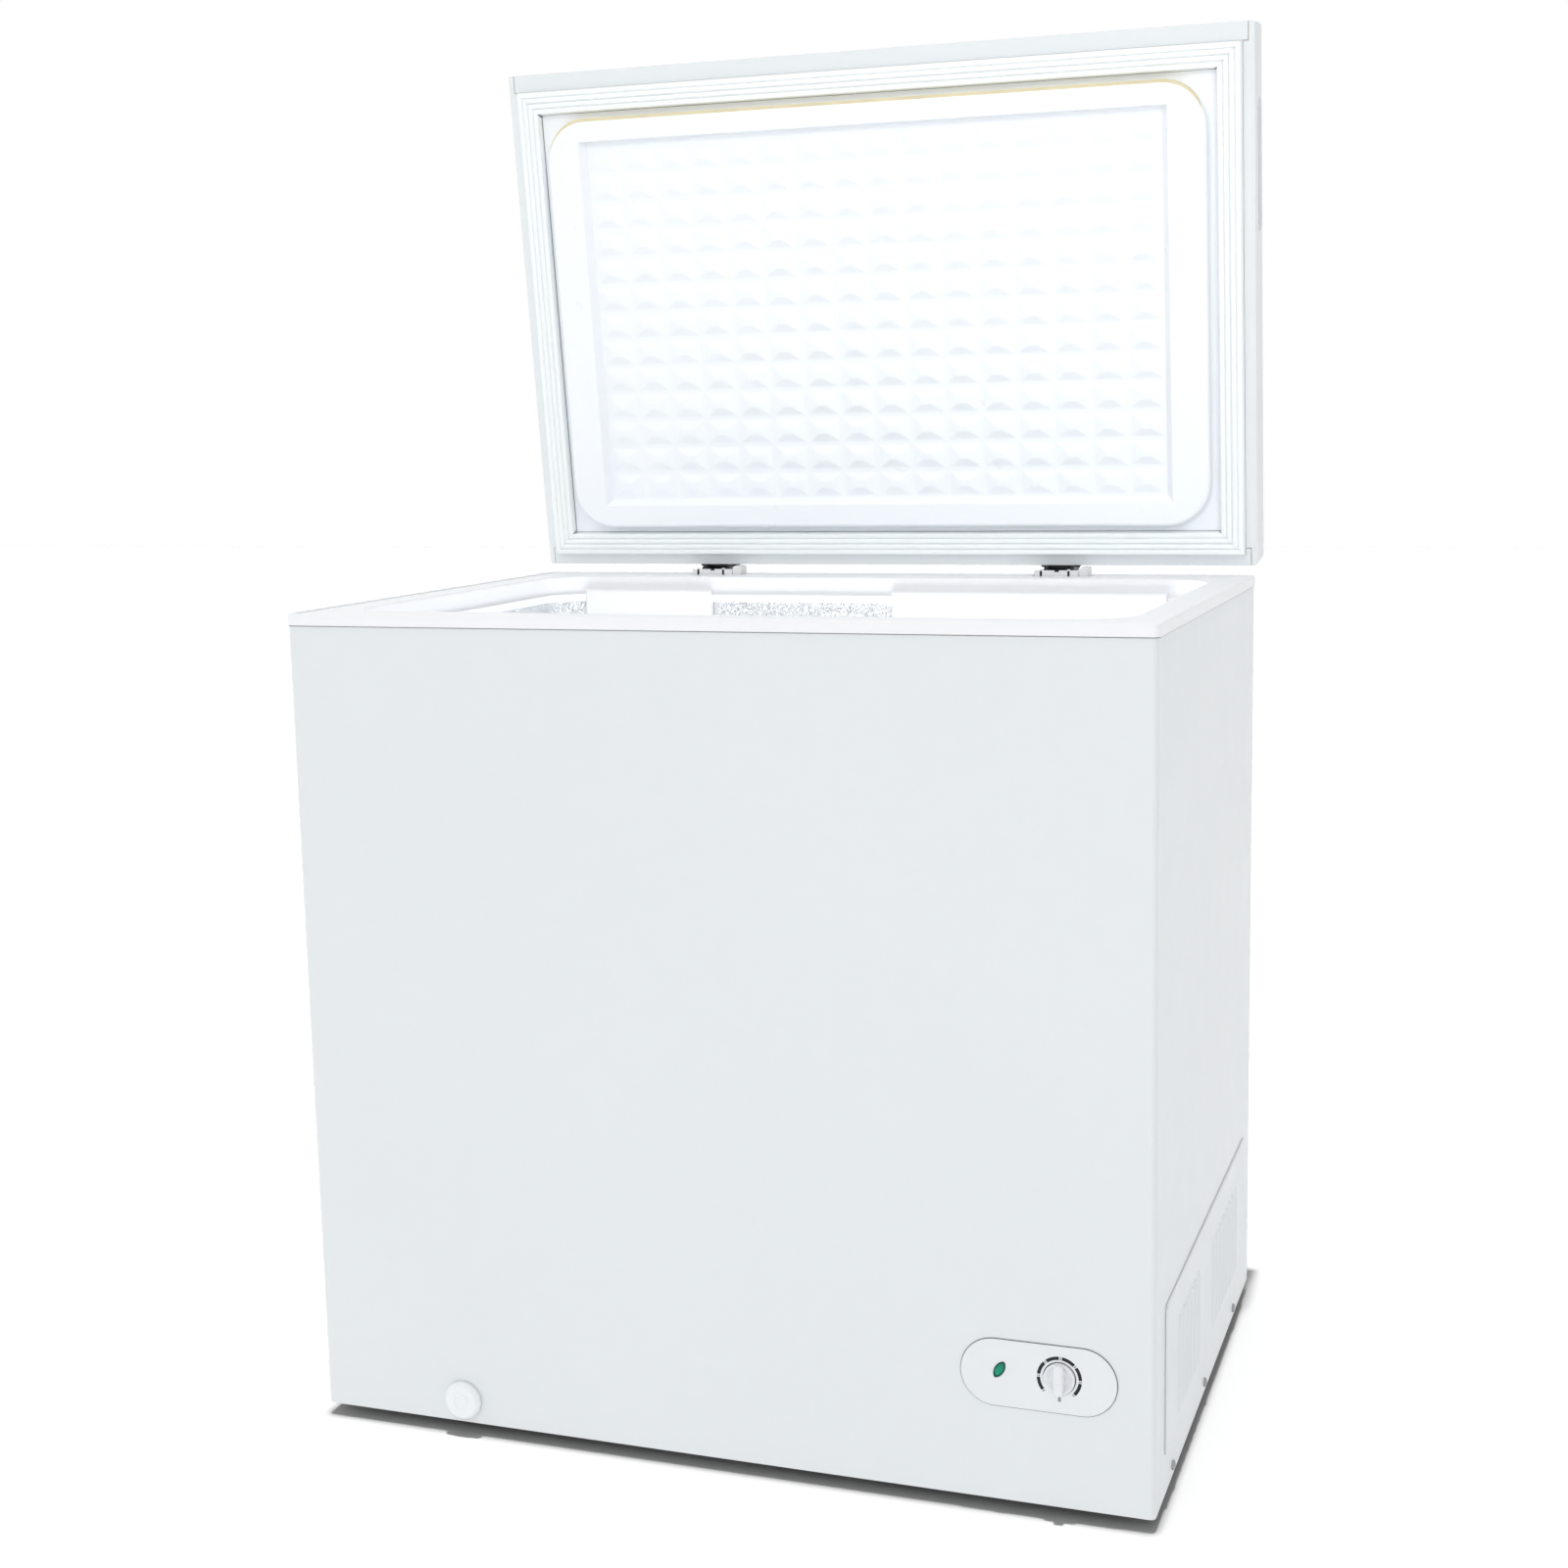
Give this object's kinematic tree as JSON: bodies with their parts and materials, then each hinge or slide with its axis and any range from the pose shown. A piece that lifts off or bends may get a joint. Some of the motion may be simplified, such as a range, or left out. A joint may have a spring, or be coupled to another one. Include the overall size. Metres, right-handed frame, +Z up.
{
  "type": "chest freezer",
  "caption": "White top-opening chest freezer: insulated steel cabinet with an embossed aluminium tank, and a hinged lid with a pyramid-pattern liner and seal.",
  "frame": {"origin": "on the floor, at the middle of the box round the whole freezer with its lid open as stored", "axes": "+X to the right as seen from the front, +Y towards the back, +Z up"},
  "size_m": [0.812, 0.6242, 1.3334],
  "materials": {
    "white_coated_steel": "gloss",
    "grey_coated_steel": "satin",
    "galvanised_steel": "satin",
    "embossed_aluminium": "satin",
    "white_collar_plastic": "satin",
    "insulation_foam": "matte",
    "aluminium_tube": "satin",
    "copper": "satin",
    "black_enamel": "gloss",
    "black_rubber": "matte",
    "zinc_screws": "satin",
    "dark_plastic": "matte",
    "panel_plastic": "satin",
    "knob_plastic": "satin",
    "green_lens": "gloss",
    "drain_plastic": "satin",
    "hinge_steel": "satin",
    "spring_steel": "polished",
    "hinge_cover_plastic": "satin",
    "lid_liner_plastic": "gloss",
    "seal_rubber": "matte"
  },
  "bodies": {
    "cabinet": {"outer_wrap": "white_coated_steel", "rear_panel": "grey_coated_steel", "rear_grille": "grey_coated_steel", "bottom_plate": "galvanised_steel", "bay_base": "galvanised_steel", "bay_housing": "galvanised_steel", "cabinet_backing_plates": "galvanised_steel", "inner_liner": "embossed_aluminium", "collar": "white_collar_plastic", "cabinet_foam": "insulation_foam", "evaporator_tube": "aluminium_tube", "condenser_tube": "copper", "filter_drier": "copper", "suction_pipe": "copper", "discharge_pipe": "copper", "capillary_tube": "copper", "sensing_tube": "copper", "compressor_shell": "black_enamel", "compressor_feet": "black_enamel", "compressor_grommets": "black_rubber", "cord_gland": "black_rubber", "wiring_loom": "black_rubber", "compressor_bolts": "zinc_screws", "feet_screws": "zinc_screws", "side_screws": "zinc_screws", "grille_screws": "zinc_screws", "hinge_base_screws": "zinc_screws", "relay_cover": "dark_plastic", "lamp_holder": "dark_plastic", "thermostat": "dark_plastic", "feet": "dark_plastic", "control_bezel": "panel_plastic", "lamp_lens": "green_lens", "drain_tube": "drain_plastic", "hinge_base_left": "hinge_steel", "hinge_base_right": "hinge_steel", "hinge_pin_left": "hinge_steel", "hinge_pin_right": "hinge_steel", "hinge_spring_left": "spring_steel", "hinge_spring_right": "spring_steel", "hinge_cover_left": "hinge_cover_plastic", "hinge_cover_right": "hinge_cover_plastic"},
    "lid": {"lid_shell": "white_coated_steel", "lid_liner": "lid_liner_plastic", "lid_foam": "insulation_foam", "lid_gasket": "seal_rubber", "lid_backing_plates": "galvanised_steel", "hinge_leaf_left": "hinge_steel", "hinge_leaf_right": "hinge_steel", "hinge_leaf_screws": "zinc_screws"},
    "thermostat_dial": {"thermostat_knob": "knob_plastic"},
    "drain_cap": {"drain_cap": "drain_plastic"},
    "floor_plug": {"floor_plug": "drain_plastic"}
  },
  "joints": [
    {"name": "lid_hinge", "type": "hinge", "parent": "cabinet", "child": "lid", "pos_m": [0, 0.24939, 0.7805], "axis": [1, 0, 0], "range_deg": [0, 83.4], "stiffness_Nm_per_rad": 5},
    {"name": "thermostat_turn", "type": "hinge", "parent": "cabinet", "child": "thermostat_dial", "pos_m": [0.3208, -0.31061, 0.1302], "axis": [0, 1, 0], "range_deg": [0, 315]},
    {"name": "drain_cap_pull", "type": "slide", "parent": "cabinet", "child": "drain_cap", "axis": [0, -1, 0], "range_m": [0, 0.02]},
    {"name": "floor_plug_pull", "type": "slide", "parent": "cabinet", "child": "floor_plug", "axis": [0, 0, 1], "range_m": [0, 0.03]}
  ]
}
